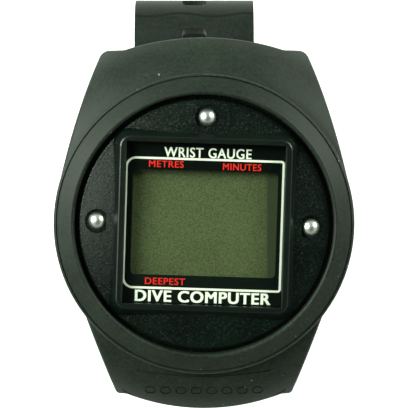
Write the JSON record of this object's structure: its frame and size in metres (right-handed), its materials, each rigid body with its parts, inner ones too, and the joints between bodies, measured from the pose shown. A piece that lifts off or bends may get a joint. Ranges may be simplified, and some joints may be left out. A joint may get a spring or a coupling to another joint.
{
  "type": "dive computer",
  "caption": "Wrist dive computer: a round sealed capsule with a square framed display, in a rubber wrist boot on a threaded, perforated rubber strap with a pin buckle.",
  "frame": {"origin": "centre of the wrist face, the strap's inner face straight below the middle of the display", "axes": "+Z out of the display, +Y to twelve o'clock, +X to three o'clock"},
  "size_m": [0.068, 0.0953, 0.0833],
  "materials": {
    "boot_rubber": "satin moulded rubber",
    "strap_rubber": "matt moulded rubber",
    "case_plastic": "fine spark-eroded grain",
    "cup_plastic": "satin",
    "lens_glass": "clear, polished",
    "mask_print": "black print with a cream line and red labels",
    "lcd_glass": "grey-green liquid crystal",
    "reflector_foil": "matt foil",
    "holder_plastic": "natural moulded",
    "seal_rubber": "satin",
    "gasket_foam": "matt",
    "contact_steel": "polished stainless",
    "spring_brass": "gilt",
    "board_laminate": "green solder mask",
    "chip_epoxy": "moulded epoxy",
    "can_steel": "drawn can",
    "capacitor_ceramic": "fired ceramic",
    "buckle_steel": "satin brushed stainless"
  },
  "bodies": {
    "case": {"wrist_boot": "boot_rubber", "housing_cup": "cup_plastic", "face_cover": "case_plastic", "window_gasket": "gasket_foam", "display_mask": "mask_print", "window_lens": "lens_glass", "lcd_panel": "lcd_glass", "lcd_reflector": "reflector_foil", "lcd_holder": "holder_plastic", "zebra_strips": "seal_rubber", "circuit_board": "board_laminate", "board_screws": "can_steel", "controller_chip": "chip_epoxy", "quartz_crystal": "can_steel", "board_capacitors": "capacitor_ceramic", "contact_seals": "seal_rubber", "contact_stud_left": "contact_steel", "contact_stud_top": "contact_steel", "contact_stud_right": "contact_steel", "contact_blades": "spring_brass", "pressure_sensor": "can_steel", "sensor_seal": "seal_rubber", "sensor_cap": "cup_plastic", "rear_cover": "cup_plastic", "rear_cover_seal": "seal_rubber", "rear_cover_screws": "can_steel", "battery_cell": "can_steel", "battery_clip_positive": "spring_brass", "battery_clip_negative": "spring_brass", "strap_centre": "strap_rubber"},
    "upper_strap": {"strap_upper_arm": "strap_rubber"},
    "lower_strap": {"strap_lower_arm": "strap_rubber", "buckle_bar": "buckle_steel"},
    "buckle": {"buckle_frame": "buckle_steel"},
    "tongue": {"buckle_tongue": "buckle_steel"},
    "keeper": {"strap_keeper": "strap_rubber"}
  },
  "joints": [
    {"name": "upper_strap_flex", "type": "hinge", "parent": "case", "child": "upper_strap", "pos_m": [-0.0023, 0.0508, -0.009], "axis": [1, 0, 0], "range_deg": [-3, 55], "stiffness_Nm_per_rad": 2.5},
    {"name": "lower_strap_flex", "type": "hinge", "parent": "case", "child": "lower_strap", "pos_m": [-0.0023, -0.0387, -0.009], "axis": [1, 0, 0], "range_deg": [-55, 6], "stiffness_Nm_per_rad": 2.5},
    {"name": "buckle_frame_pivot", "type": "hinge", "parent": "lower_strap", "child": "buckle", "pos_m": [-0.0023, -0.03208, -0.03207], "axis": [1, 0, 0], "range_deg": [-45, 10]},
    {"name": "buckle_tongue_pivot", "type": "hinge", "parent": "buckle", "child": "tongue", "pos_m": [-0.0023, -0.03208, -0.03207], "axis": [1, 0, 0], "range_deg": [-50, 0]},
    {"name": "strap_keeper_slide", "type": "slide", "parent": "lower_strap", "child": "keeper", "axis": [0, 0.2756, -0.9613], "range_m": [0, 0.006]}
  ]
}
